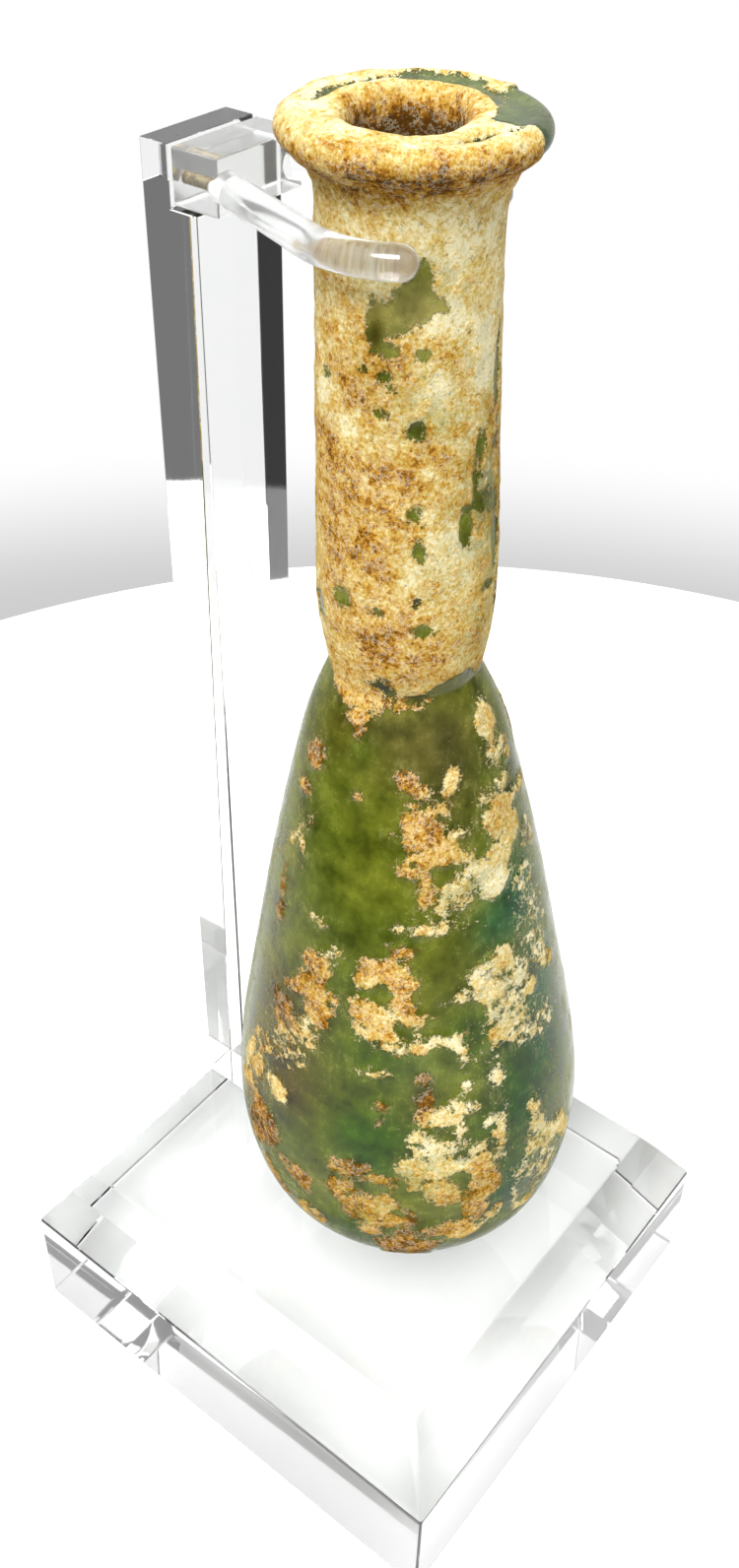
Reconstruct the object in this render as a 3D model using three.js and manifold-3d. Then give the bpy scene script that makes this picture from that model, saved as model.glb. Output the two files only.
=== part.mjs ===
// A Roman blown-glass bottle held upright on its clear acrylic display stand.
// Millimetres, +Z up. The origin is the centre of the stand's underside. The stand's upright is on the
// +Y side, and X runs along its wide face.
import * as THREE from 'three';
import { mergeVertices } from 'three/addons/utils/BufferGeometryUtils.js';
import Module from 'manifold-3d';

const GAP = 0.3;                 // clearance kept between pieces that touch

// Stand base: a thick block whose top edges are bevelled in two steps
const BASE_X = 60;
const BASE_Y = 62;
const BASE_HEIGHT = 25.4;
const BEVEL_TOP_INSET = 5.5;
const BEVEL_STEPS = [[0, 16.7], [3.3, 22.2], [BEVEL_TOP_INSET, BASE_HEIGHT]];      // [inset, height]

// Stand upright: a rectangular bar with a half-lap seat for the claw at the top of its front
const BAR_WIDTH = 10.9;
const BAR_DEPTH = 6.4;
const BAR_TOP = 147.7;
const BAR_X = 2.7;               // middle of the bar
const BAR_BACK_Y = BASE_Y / 2 - BEVEL_TOP_INSET;      // flush with the back of the base's flat top
const SEAT_DEPTH = 3.1;
const SEAT_HEIGHT = 5.4;

// Bottle: heights are above its own underside
const BOTTLE_BOTTOM = BASE_HEIGHT + GAP;
const BOTTLE_X = BAR_X;
const BOTTLE_Y = -4;
const BOTTLE_HEIGHT = 127.7;
const BODY_LEAN = 0.0446;        // the axis leans back towards the upright
const NECK_LEAN = 0.0316;
const PINCH_HEIGHT = 77;         // the tooled constriction at the foot of the neck
const FLOOR = 2.6;               // glass under the inside
const HEEL_RADIUS = 16.2;        // where the inside wall turns into the rounded floor
const HEEL_HEIGHT = 4;           // rise of that rounding
const PUSH_UP = 0.8;             // shallow hollow under the base
const FOOT_RADIUS = 11.5;
const BODY_WALL = 1.6;
const NECK_WALL = 1.7;
const PINCH_WALL = 1.9;

// [radius, height] of the outside, from the foot to the underside of the collar
const BODY_OUTLINE = [
  [FOOT_RADIUS, 0], [14, 0.7], [17.9, 6], [19.6, 11.5], [20.1, 18], [19.4, 25.6], [17.8, 34.5],
  [14.3, 52.5], [11.3, 65.3], [9.6, 71.4], [7.25, PINCH_HEIGHT],
];
const NECK_OUTLINE = [
  [7.25, PINCH_HEIGHT], [8.1, 82.5], [8.3, 88], [7.8, 105], [7.55, 118], [7.75, 122.4],
];

// Collar: a rim folded outwards and pressed flat, with the inner lip folded back in
const COLLAR_RADIUS = 10.75;
const COLLAR_HEIGHT = 3;
const COLLAR_EDGE = 1.2;         // radius of its rounded edge
const GROOVE_RADIUS = 8.3;
const GROOVE_DEPTH = 0.45;
const LIP_RADIUS = 6.9;
const MOUTH_RADIUS = 5.2;
const COLLAR_OFFSET = [0.2, -0.28];
const MOUTH_OFFSET = [-0.35, 0.45];
const MOUTH_OVAL = 0.07;         // how far the mouth is from round

// Claw: a block seated in the upright, and two rods that run out and curl round the neck
const CLAW_HEIGHT = 145;
const ROD_RADIUS = 1.45;
const BLOCK_FRONT_Y = 16.6;
const BLOCK_HEIGHT = 5;
const GRIP_RADIUS = 9.5;         // middle line of the rods round the neck
const GRIP_START = 20;           // degrees from the X axis where a straight leg meets the curl
const LONG_ARM_END = -33;        // the arm on the -X side reaches further round
const SHORT_ARM_END = -12;
const LEG_LENGTH = 14.4;

// Fineness of the faceted surfaces
const BOTTLE_SIDES = 44;
const OUTLINE_STEP = 4.4;        // millimetres of profile between rings
const ROD_SIDES = 12;
const ROD_STEPS = 14;

const wasm = await Module();
wasm.setup();

function toSolid(geometry) {
  const bare = geometry.index ? geometry.toNonIndexed() : geometry.clone();
  bare.deleteAttribute('normal');
  bare.deleteAttribute('uv');
  const merged = mergeVertices(bare, 1e-4);
  return new wasm.Manifold(new wasm.Mesh({
    numProp: 3,
    vertProperties: new Float32Array(merged.attributes.position.array),
    triVerts: new Uint32Array(merged.index.array),
  }));
}

function toGeometry(solid) {
  const mesh = solid.getMesh();
  const geometry = new THREE.BufferGeometry();
  geometry.setAttribute('position', new THREE.BufferAttribute(new Float32Array(mesh.vertProperties), 3));
  geometry.setIndex(new THREE.BufferAttribute(new Uint32Array(mesh.triVerts), 1));
  geometry.computeVertexNormals();
  return geometry;
}

function smoothCurve(points, step) {
  const curve = new THREE.SplineCurve(points.map(([x, y]) => new THREE.Vector2(x, y)));
  return curve.getSpacedPoints(Math.ceil(curve.getLength() / step));
}

function arc(centreX, centreY, radius, from, to, steps) {
  const points = [];
  for (let i = 0; i <= steps; i += 1) {
    const angle = THREE.MathUtils.degToRad(from + (to - from) * i / steps);
    points.push(new THREE.Vector2(centreX + radius * Math.cos(angle), centreY + radius * Math.sin(angle)));
  }
  return points;
}

// Sideways place of the bottle's axis at a height above its underside
function axisAt(height) {
  const above = Math.max(0, height - PINCH_HEIGHT);
  return BOTTLE_Y + BODY_LEAN * Math.min(height, PINCH_HEIGHT) + NECK_LEAN * above;
}

function wallAt(height) {
  const nearPinch = Math.exp(-(((height - PINCH_HEIGHT) / 5) ** 2));
  const plain = height < PINCH_HEIGHT ? BODY_WALL : NECK_WALL;
  return plain + (PINCH_WALL - plain) * nearPinch;
}

// Half of the section through the glass, from the axis below, up the outside, over the rim and down inside
function bottleSection() {
  const body = smoothCurve(BODY_OUTLINE, OUTLINE_STEP);
  const neck = smoothCurve(NECK_OUTLINE, OUTLINE_STEP);
  const outside = [...body, ...neck.slice(1)];
  const crown = BOTTLE_HEIGHT - COLLAR_EDGE;
  const collar = arc(COLLAR_RADIUS - COLLAR_EDGE, crown, COLLAR_EDGE, -50, 90, 5);
  const lip = [
    new THREE.Vector2(GROOVE_RADIUS, BOTTLE_HEIGHT - GROOVE_DEPTH),
    new THREE.Vector2(LIP_RADIUS, BOTTLE_HEIGHT - 0.1),
    new THREE.Vector2(MOUTH_RADIUS + 0.6, BOTTLE_HEIGHT - 0.4),
    new THREE.Vector2(MOUTH_RADIUS, BOTTLE_HEIGHT - 1.3),
    new THREE.Vector2(MOUTH_RADIUS + 0.2, BOTTLE_HEIGHT - COLLAR_HEIGHT),
  ];
  const inside = outside
    .filter((point) => point.y > FLOOR + HEEL_HEIGHT)
    .map((point) => new THREE.Vector2(point.x - wallAt(point.y), point.y))
    .reverse();
  const floor = arc(0, 0, 1, 0, -90, 4)
    .map((point) => new THREE.Vector2(HEEL_RADIUS * point.x, FLOOR + HEEL_HEIGHT * (1 + point.y)))
    .slice(0, -1);
  return [
    new THREE.Vector2(0, PUSH_UP),
    new THREE.Vector2(FOOT_RADIUS * 0.6, PUSH_UP * 0.6),
    ...outside,
    ...collar,
    ...lip,
    ...inside,
    ...floor,
    new THREE.Vector2(0, FLOOR),
  ];
}

// Moves a point of the turned shape to follow the leaning axis, the set-over collar and the oval mouth
function bendBottle(geometry) {
  const position = geometry.attributes.position;
  for (let i = 0; i < position.count; i += 1) {
    const x = position.getX(i);
    const y = position.getY(i);
    const height = position.getZ(i);
    const radius = Math.hypot(x, y);
    const atRim = THREE.MathUtils.smoothstep(height, 118, 124);
    const atMouth = atRim * (1 - THREE.MathUtils.smoothstep(radius, MOUTH_RADIUS, GROOVE_RADIUS));
    const oval = 1 + MOUTH_OVAL * atMouth * Math.cos(2 * Math.atan2(y, x) - 0.6);
    position.setXYZ(
      i,
      BOTTLE_X + x * oval + COLLAR_OFFSET[0] * atRim + MOUTH_OFFSET[0] * atMouth,
      axisAt(height) + y * oval + COLLAR_OFFSET[1] * atRim + MOUTH_OFFSET[1] * atMouth,
      BOTTLE_BOTTOM + height,
    );
  }
  return geometry;
}

function bottleGeometry() {
  const turned = new THREE.LatheGeometry(bottleSection(), BOTTLE_SIDES);
  turned.rotateX(Math.PI / 2);
  return bendBottle(turned);
}

function baseGeometry() {
  const corner = (inset) => Math.SQRT2 * (BASE_X / 2 - inset);
  const section = [
    new THREE.Vector2(0, 0),
    new THREE.Vector2(corner(0), 0),
    ...BEVEL_STEPS.map(([inset, height]) => new THREE.Vector2(corner(inset), height)),
    new THREE.Vector2(0, BASE_HEIGHT),
  ];
  const block = new THREE.LatheGeometry(section, 4, Math.PI / 4);
  block.rotateX(Math.PI / 2);
  const position = block.attributes.position;
  for (let i = 0; i < position.count; i += 1) {
    const y = position.getY(i);
    if (Math.abs(y) > 1e-6) position.setY(i, y + Math.sign(y) * (BASE_Y - BASE_X) / 2);
  }
  return block;
}

// The bar's side view, [y, z], extruded across its width
function barGeometry() {
  const front = BAR_BACK_Y - BAR_DEPTH;
  const seat = BAR_TOP - SEAT_HEIGHT;
  const side = new THREE.Shape([
    new THREE.Vector2(front, BASE_HEIGHT + GAP),
    new THREE.Vector2(BAR_BACK_Y, BASE_HEIGHT + GAP),
    new THREE.Vector2(BAR_BACK_Y, BAR_TOP),
    new THREE.Vector2(front + SEAT_DEPTH, BAR_TOP),
    new THREE.Vector2(front + SEAT_DEPTH, seat),
    new THREE.Vector2(front, seat),
  ]);
  const bar = new THREE.ExtrudeGeometry(side, { depth: BAR_WIDTH, bevelEnabled: false });
  bar.rotateX(Math.PI / 2);
  bar.rotateZ(Math.PI / 2);
  bar.translate(BAR_X - BAR_WIDTH / 2, 0, 0);
  return bar;
}

// One arm's middle line, for the +X side: a straight leg, then a curl round the neck
function armPath(endAngle) {
  const neckY = axisAt(CLAW_HEIGHT - BOTTLE_BOTTOM);
  const start = THREE.MathUtils.degToRad(GRIP_START);
  const joinX = BAR_X + GRIP_RADIUS * Math.cos(start);
  const joinY = neckY + GRIP_RADIUS * Math.sin(start);
  const leg = [1, 0.5].map((part) => new THREE.Vector3(
    joinX - Math.sin(start) * LEG_LENGTH * part,
    joinY + Math.cos(start) * LEG_LENGTH * part,
    CLAW_HEIGHT,
  ));
  const curl = arc(BAR_X, neckY, GRIP_RADIUS, GRIP_START, endAngle, 5)
    .map((point) => new THREE.Vector3(point.x, point.y, CLAW_HEIGHT));
  return new THREE.CatmullRomCurve3([...leg, ...curl]);
}

function armSolid(endAngle) {
  const path = armPath(endAngle);
  const ring = arc(0, 0, ROD_RADIUS, 0, 360, ROD_SIDES).slice(0, -1);
  const rod = new THREE.ExtrudeGeometry(new THREE.Shape(ring), { steps: ROD_STEPS, extrudePath: path });
  const tip = new THREE.SphereGeometry(ROD_RADIUS, ROD_SIDES, ROD_SIDES / 2);
  tip.translate(...path.getPoint(1).toArray());
  return toSolid(rod).add(toSolid(tip));
}

function mirrorAcrossBar(solid) {
  return solid.translate([-BAR_X, 0, 0]).mirror([1, 0, 0]).translate([BAR_X, 0, 0]);
}

function clawGeometry() {
  const seatY = BAR_BACK_Y - BAR_DEPTH + SEAT_DEPTH - GAP;
  const bottom = BAR_TOP - SEAT_HEIGHT + GAP;
  const block = new THREE.BoxGeometry(BAR_WIDTH, seatY - BLOCK_FRONT_Y, BLOCK_HEIGHT);
  block.translate(BAR_X, (seatY + BLOCK_FRONT_Y) / 2, bottom + BLOCK_HEIGHT / 2);
  const claw = toSolid(block)
    .add(armSolid(SHORT_ARM_END))
    .add(mirrorAcrossBar(armSolid(LONG_ARM_END)));
  return toGeometry(claw);
}

const glass = new THREE.MeshStandardMaterial({ color: 0x4f6b3a, roughness: 0.3, metalness: 0 });
const acrylic = new THREE.MeshStandardMaterial({ color: 0xeef2f2, roughness: 0.08, metalness: 0 });

const object = new THREE.Group();

function addPiece(name, geometry, material) {
  const mesh = new THREE.Mesh(geometry, material.clone());
  mesh.name = name;
  object.add(mesh);
}

addPiece('bottle', bottleGeometry(), glass);
addPiece('stand_base', baseGeometry(), acrylic);
addPiece('stand_upright', barGeometry(), acrylic);
addPiece('stand_claw', clawGeometry(), acrylic);

export default object;
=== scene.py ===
# A Roman blown-glass bottle, weathered under a patchy crust, on its clear acrylic display stand.
import math

import bmesh
import bpy
import numpy as np
from mathutils import Matrix, Vector


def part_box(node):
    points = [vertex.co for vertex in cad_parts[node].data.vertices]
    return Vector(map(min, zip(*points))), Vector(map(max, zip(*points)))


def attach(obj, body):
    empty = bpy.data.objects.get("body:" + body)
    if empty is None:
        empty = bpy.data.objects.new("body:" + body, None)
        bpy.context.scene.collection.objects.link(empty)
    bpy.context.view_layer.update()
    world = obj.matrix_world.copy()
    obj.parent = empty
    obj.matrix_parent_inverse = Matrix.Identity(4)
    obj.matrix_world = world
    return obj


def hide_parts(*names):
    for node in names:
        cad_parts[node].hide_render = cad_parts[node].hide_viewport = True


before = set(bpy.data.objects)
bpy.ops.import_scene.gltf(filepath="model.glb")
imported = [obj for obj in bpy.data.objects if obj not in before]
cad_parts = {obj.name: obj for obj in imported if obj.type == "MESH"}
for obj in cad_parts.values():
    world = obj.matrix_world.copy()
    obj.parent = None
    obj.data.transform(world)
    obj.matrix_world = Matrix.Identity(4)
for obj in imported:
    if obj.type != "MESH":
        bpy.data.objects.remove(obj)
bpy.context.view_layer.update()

MM = 0.001
AIR_GAP = 0.15                   # between the stand's polished underside and the floor, in mm

# Camera: where it stands (mm), how it is turned (degrees) and its lens
CAMERA_PLACE = (-95.94, -72.12, 188.95)
CAMERA_YAW = 38.19
CAMERA_PITCH = 39.68
CAMERA_ROLL = 0.81
LENS = 35.07
SHIFT = (0.0089, -0.0076)

# Places taken from the frame, in mm
BOTTLE_LOW, BOTTLE_HIGH = (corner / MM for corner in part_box("bottle"))
BASE_LOW, BASE_HIGH = (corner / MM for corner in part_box("stand_base"))
BAR_LOW, BAR_HIGH = (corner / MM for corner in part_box("stand_upright"))
CLAW_LOW, CLAW_HIGH = (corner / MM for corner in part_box("stand_claw"))

# Bottle: heights in mm above its own underside
BOTTLE_X = (BAR_LOW.x + BAR_HIGH.x) / 2
BOTTLE_Y = -4.0
BODY_LEAN = 0.0446
NECK_LEAN = 0.0316
PINCH_HEIGHT = 77.0
BOTTLE_HEIGHT = 127.7
FLOOR = 2.6
HEEL_RADIUS = 16.2
HEEL_HEIGHT = 4.0
PUSH_UP = 0.8
BODY_WALL = 1.6
NECK_WALL = 1.7
PINCH_WALL = 1.9
BODY_OUTLINE = [
    (11.5, 0), (14, 0.7), (17.9, 6), (19.6, 11.5), (20.1, 18), (19.4, 25.6), (17.8, 34.5),
    (14.3, 52.5), (11.3, 65.3), (9.6, 71.4), (7.25, PINCH_HEIGHT),
]
NECK_OUTLINE = [(7.25, PINCH_HEIGHT), (8.1, 82.5), (8.3, 88), (7.8, 105), (7.55, 118), (7.75, 122.4)]
COLLAR_RADIUS = 10.75
COLLAR_HEIGHT = 3.0
COLLAR_EDGE = 1.2
MOUTH_RADIUS = 5.2
GROOVE_RADIUS = 8.3
COLLAR_OFFSET = (0.2, -0.28)
MOUTH_OFFSET = (-0.35, 0.45)
MOUTH_OVAL = 0.07
SIDES = 224
OUTSIDE_STEP = 0.5
INSIDE_STEP = 1.8

# Claw: a block seated in the upright, two arms, and the stud sealed in the block
CLAW_HEIGHT = 145
ROD_RADIUS = 1.45
BLOCK_FRONT_Y = 16.6
BLOCK_BOTTOM = 142.6
GRIP_RADIUS = 9.5
GRIP_START = 20
LONG_ARM_END = -33
SHORT_ARM_END = -12
LEG_LENGTH = 14.4
STUD_X = -0.6
STUD_Z = 144.9
STUD_FRONT_Y = 18.3
STUD_BACK_Y = 21.5
STUD_RADIUS = 0.6
STUD_PITCH = 0.3

# Setting: a white floor, and how bright the room is around it
FLOOR_X, FLOOR_Y, FLOOR_RADIUS = 9.2, -8.5, 182
BACKDROP_AZIMUTH = 47
BACKDROP = 1.0
CEILING = 1.35
ROOM_LEFT = 0.03
ROOM_RIGHT = 0.2
LAMP_PLACE = (-0.45, -0.15, 0.75)
LAMP_POWER = 8

# Azimuths on the bottle are in degrees from its front, positive towards the right when seen from there
FRONT = 216.2

# Lower edge of the crust that covers the neck: (azimuth, height)
NECK_CRUST_EDGE = [
    (-180, 76.5), (-120, 77.5), (-80, 77.5), (-62, 75.9), (-44, 75.4), (-38, 75.0), (-25, 75.5),
    (-12, 76.0), (8, 76.2), (20, 76.9), (27, 78.6), (50, 79.4), (62, 78.0), (90, 77.0), (140, 76.0), (180, 76.5),
]
# Patches of crust: (azimuth, height, half length, half width, tilt, thickness kept, ochre)
PATCHES = [
    # drip below the neck, and spots on the left of the shoulder
    (-33, 74.9, 1.3, 1.2, 0, 1.2, 0.7), (-29, 73.9, 0.6, 1.2, 0, 1.0, 0.75),
    (-57, 69.0, 1.7, 1.5, 0, 1.2, 0.8), (-62, 65.0, 0.9, 0.8, 0, 0.8, 0.75),
    (-61.5, 58.9, 1.8, 0.35, 54, 0.8, 0.45), (-55, 59.2, 1.3, 0.35, -66, 0.8, 0.45),
    (-63, 52.5, 0.6, 1.7, 0, 0.3, 0.9), (-62, 49.5, 0.8, 1.4, 0, 0.3, 0.85), (-23, 67.4, 0.6, 0.4, 0, 0.3, 0.6),
    # the large patch in the middle of the upper body
    (2, 69.6, 1.2, 1.0, 0, 1.2, 0.75), (9, 68.6, 1.0, 0.6, -15, 0.8, 0.5), (26, 69.2, 0.9, 1.4, 0, 1.2, 0.45),
    (22, 68.3, 0.6, 0.6, 0, 0.6, 0.4), (14, 66.6, 1.6, 0.9, 0, 0.4, 0.45), (8, 64.5, 2.1, 2.3, 0, 1.4, 0.75),
    (14, 62.0, 2.6, 1.6, 0, 1.4, 0.6), (2, 64.2, 1.2, 0.5, 0, 0.6, 0.4), (4, 60.3, 1.7, 1.0, -20, 1.2, 0.7),
    (9, 58.3, 1.0, 1.7, 0, 1.0, 0.65), (26, 63.6, 1.6, 0.35, 12, 0.6, 0.3), (26, 61.3, 1.9, 0.8, -35, 0.9, 0.3),
    (36, 59.0, 2.2, 1.2, -20, 1.2, 0.15), (43, 56.9, 2.2, 1.5, 0, 1.3, 0.15), (24, 58.0, 2.4, 1.1, 0, 0.25, 0.3),
    (22, 56.2, 1.8, 0.5, 5, 0.2, 0.3), (10, 53.8, 2.0, 0.55, 5, 0.5, 0.3), (16, 54.2, 0.9, 0.7, 0, 0.15, 0.2),
    # right of the shoulder
    (52, 63.5, 2.3, 2.2, 0, 1.4, 0.45), (58, 61.5, 2.0, 2.0, 0, 1.3, 0.4), (48, 59.8, 2.2, 1.6, 0, 1.2, 0.3),
    (56, 66.4, 1.8, 0.9, 0, 0.3, 0.3), (72, 64.0, 2.6, 0.6, -8, 0.8, 0.4), (61, 73.0, 1.7, 2.0, 0, 1.0, 0.4),
    (66, 69.5, 2.2, 1.4, -20, 0.1, 0.3), (62, 55.0, 1.6, 1.2, 0, 0.0, 0.1), (74, 58.5, 1.8, 1.8, 0, 0.0, 0.1),
    # middle of the body
    (-2, 51.3, 1.3, 0.9, 0, 0.9, 0.7), (-8, 48.9, 3.0, 1.5, 0, 1.3, 0.65), (-1, 47.6, 1.6, 1.4, 0, 1.2, 0.7),
    (-15, 47.3, 1.0, 0.9, 0, 0.5, 0.4), (-1, 45.0, 1.3, 2.0, 0, 1.2, 0.65), (-12, 43.2, 2.4, 1.7, -15, 1.3, 0.6),
    (-17, 44.6, 1.0, 0.8, 0, 0.8, 0.55), (1, 43.4, 2.2, 0.9, -10, 0.8, 0.45), (-9, 41.2, 2.4, 1.1, -10, 1.2, 0.45),
    (-5, 39.9, 2.0, 0.6, -5, 0.8, 0.4), (5, 39.7, 1.2, 0.7, 20, 0.6, 0.4), (13, 40.6, 2.0, 0.5, -8, 0.5, 0.2),
    (19, 39.4, 1.5, 0.45, -50, 0.6, 0.2), (22, 37.8, 0.5, 1.1, 0, 0.5, 0.2), (-11, 36.0, 1.2, 0.5, 5, 0.5, 0.4),
    # left of the body
    (-36, 47.0, 1.9, 1.4, 0, 1.3, 0.8), (-37, 44.0, 2.3, 1.9, 0, 1.4, 0.7), (-34, 41.6, 1.8, 2.0, 0, 1.3, 0.65),
    (-44, 42.8, 2.0, 0.9, 20, 0.5, 0.8), (-28, 43.8, 1.0, 0.7, 0, 0.8, 0.6), (-30, 49.0, 0.9, 0.5, 30, 0.2, 0.3),
    (-37, 52.2, 0.8, 0.4, 0, 0.2, 0.3), (-51, 39.2, 2.0, 1.3, -20, 0.6, 0.95), (-48, 37.3, 2.6, 1.4, 0, 0.25, 0.85),
    (-38, 38.0, 1.6, 2.0, 0, 0.12, 0.3),
    # right of the body
    (40, 48.0, 1.9, 1.5, 0, 1.0, 0.35), (31, 47.2, 1.6, 1.1, 20, 0.4, 0.15), (24, 45.4, 1.5, 0.7, 10, 0.3, 0.1),
    (34, 44.8, 2.6, 1.6, -15, 0.6, 0.15), (45, 45.2, 2.6, 1.8, 0, 0.25, 0.15), (40, 42.0, 2.6, 2.2, -10, 0.3, 0.15),
    (37, 39.3, 1.6, 1.3, 0, 0.7, 0.3), (50, 38.5, 3.2, 2.6, -20, 0.05, 0.15), (55, 42.0, 0.9, 1.3, 10, 0.7, 0.35),
    (69, 43.0, 2.2, 0.9, -40, 0.5, 0.4), (62, 36.5, 2.0, 1.6, 0, 0.0, 0.1), (64, 49.0, 3.0, 5.0, 0, -0.1, 0.1),
    # small spots low on the body
    (-8, 31.8, 0.9, 0.9, 0, 0.5, 0.8), (-8, 30.6, 0.3, 0.7, 0, 0.5, 0.8), (6.5, 35.6, 0.9, 0.9, 0, 0.3, 0.95),
    (7, 32.6, 0.9, 1.7, 0, 0.5, 1.0), (6, 30.4, 0.6, 0.7, 0, 0.3, 0.95), (33, 34.0, 1.0, 1.6, 0, 0.1, 0.1),
    (21, 33.8, 0.8, 0.3, 70, 0.4, 0.1), (15, 32.0, 1.8, 0.4, 35, 0.3, 0.1),
    # the large patch on the lower right
    (20, 31.2, 1.8, 0.8, -10, 0.6, 0.2), (14, 30.3, 1.8, 1.0, 0, 0.3, 0.15), (18, 28.4, 0.6, 1.6, 0, 0.8, 0.2),
    (6, 27.5, 1.5, 1.6, 35, 0.2, 0.1), (12, 26.3, 2.8, 1.2, 0, 0.5, 0.15), (25, 25.2, 1.8, 0.9, 15, 0.6, 0.15),
    (33, 26.5, 0.8, 3.2, -4, 1.0, 0.3), (29, 28.4, 0.8, 0.8, 0, 0.3, 0.1), (3, 23.8, 2.2, 1.6, 0, 1.3, 0.35),
    (13, 23.5, 3.2, 1.7, 0, 1.3, 0.25), (25, 22.8, 2.0, 2.0, 0, 1.3, 0.45), (3, 21.5, 1.2, 1.6, 0, 1.0, 0.4),
    (11, 20.5, 2.4, 1.6, 0, 1.2, 0.4), (26, 19.5, 2.2, 2.4, -10, 1.2, 0.75), (13, 18.6, 2.2, 1.2, 0, 0.8, 0.6),
    (23, 16.0, 1.4, 2.4, 15, 0.9, 0.7), (17, 13.0, 3.4, 1.3, 15, 0.7, 0.7), (9, 12.2, 1.8, 1.0, 10, 0.6, 0.8),
    (20, 11.2, 2.2, 1.4, 0, 0.6, 0.5), (30, 13.5, 1.0, 1.2, 0, 0.15, 0.3),
    # the ochre patches low on the left
    (-18, 22.3, 2.2, 1.2, 10, 1.1, 0.85), (-23, 21.7, 1.2, 0.5, 10, 0.5, 0.8), (-9, 21.5, 2.3, 0.7, -8, 1.0, 0.8),
    (-4, 20.8, 0.8, 0.7, 0, 0.9, 0.7), (-20, 19.2, 1.9, 1.2, 0, 1.0, 0.75), (-22, 17.6, 1.8, 1.0, -20, 1.0, 0.6),
    (-16, 16.6, 2.2, 1.6, 0, 1.3, 0.8), (-8, 17.6, 2.0, 1.5, 0, 1.1, 0.6), (-17, 14.9, 1.2, 1.2, 0, 1.0, 0.95),
    (-8, 14.6, 2.4, 1.6, 0, 0.9, 0.65), (-12, 12.2, 1.2, 1.6, 0, 0.7, 0.6), (2, 15.0, 0.9, 2.0, 0, 1.0, 0.95),
    (0, 11.0, 1.2, 2.6, 0, 1.0, 0.9), (-4, 8.5, 2.0, 2.4, 0, 1.0, 0.9), (5, 8.5, 2.2, 2.0, 0, 0.8, 0.9),
    (0, 4.0, 3.0, 2.2, 0, 0.8, 0.9),
    # left edge
    (-55, 20.5, 3.0, 3.2, 0, 0.5, 0.95), (-60, 17.5, 2.0, 2.4, 0, 0.4, 0.9), (-38, 17.2, 1.8, 1.5, -15, 0.9, 0.85),
    (-35, 15.8, 1.0, 1.2, 0, 0.8, 0.8), (-43, 17.6, 1.2, 0.8, 0, 0.5, 0.8), (-69, 26.8, 1.0, 3.4, -10, 0.5, 0.3),
    (-62, 27.5, 1.8, 2.6, 0, 0.2, 0.5), (-48, 27.8, 1.9, 1.6, -30, 0.5, 0.35), (-60, 31.5, 2.2, 1.2, 20, 0.15, 0.6),
    (-46, 33.5, 3.0, 1.8, 30, 0.08, 0.4), (-45, 36.0, 3.0, 1.6, 30, 0.05, 0.4), (-66, 23.0, 2.6, 1.8, 0, 0.3, 0.6),
    (-50, 12.0, 1.2, 3.0, 30, 0.35, 0.75), (-35, 10.0, 2.0, 2.0, 0, 0.2, 0.6),
    # right edge
    (48, 26.0, 0.9, 1.7, 0, 0.5, 0.35), (49, 23.0, 1.4, 1.6, 0, 0.3, 0.3), (52, 20.5, 3.0, 1.8, -20, 0.3, 0.2),
    (50, 17.5, 3.4, 2.2, -15, 0.15, 0.15), (63, 19.5, 1.2, 2.4, 20, 0.8, 0.35), (67, 17.0, 1.0, 1.6, 20, 0.6, 0.35),
    (45, 11.3, 1.8, 1.0, 0, 0.7, 0.4), (39, 15.0, 0.3, 2.6, 5, 0.4, 0.2), (52, 14.0, 2.6, 1.4, 0, 0.1, 0.15),
]
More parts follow.
